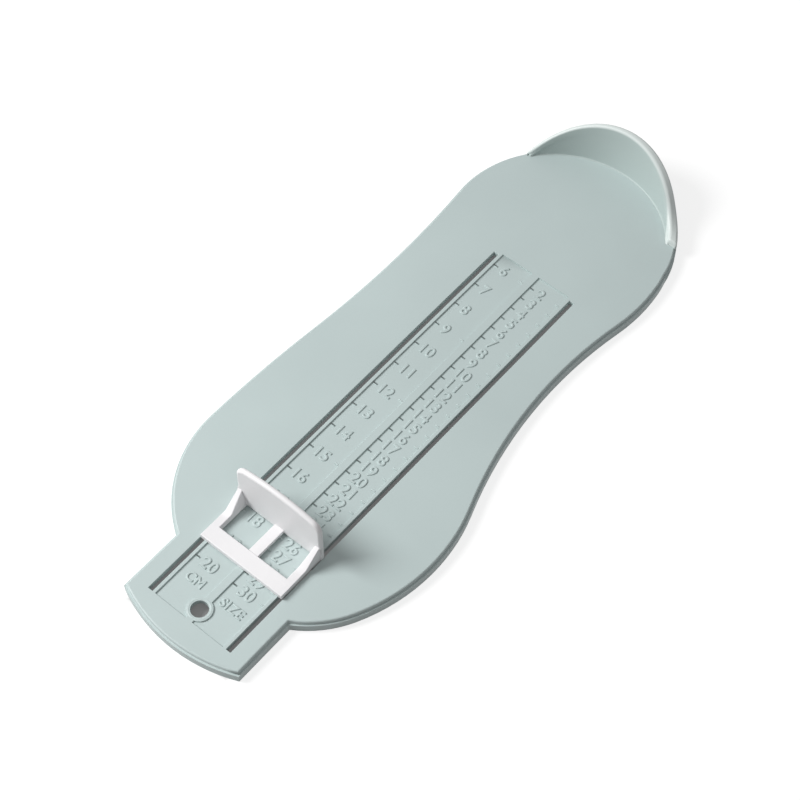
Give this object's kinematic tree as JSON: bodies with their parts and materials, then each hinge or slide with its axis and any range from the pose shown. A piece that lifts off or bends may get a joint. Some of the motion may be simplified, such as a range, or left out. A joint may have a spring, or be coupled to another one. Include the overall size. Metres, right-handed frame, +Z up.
{
  "type": "foot gauge",
  "caption": "Flat sole-shaped foot gauge for small children, with a raised heel wall, a moulded length scale and a sliding toe stop with reading windows.",
  "frame": {"origin": "centre of the footprint, on the table's surface under the plate", "axes": "+Z up, +Y along the scale towards the heel wall, +X to the right seen from the toe end"},
  "size_m": [0.0864, 0.2272, 0.024],
  "materials": {
    "plate": "moulded, fine satin, pale grey green",
    "stop": "moulded, satin, white"
  },
  "bodies": {
    "base": {"base_plate": "plate"},
    "toe_stop": {"slider": "stop"}
  },
  "joints": [
    {"name": "toe_slide", "type": "slide", "parent": "base", "child": "toe_stop", "axis": [0, 1, 0], "range_m": [-0.0238, 0.1208]}
  ]
}
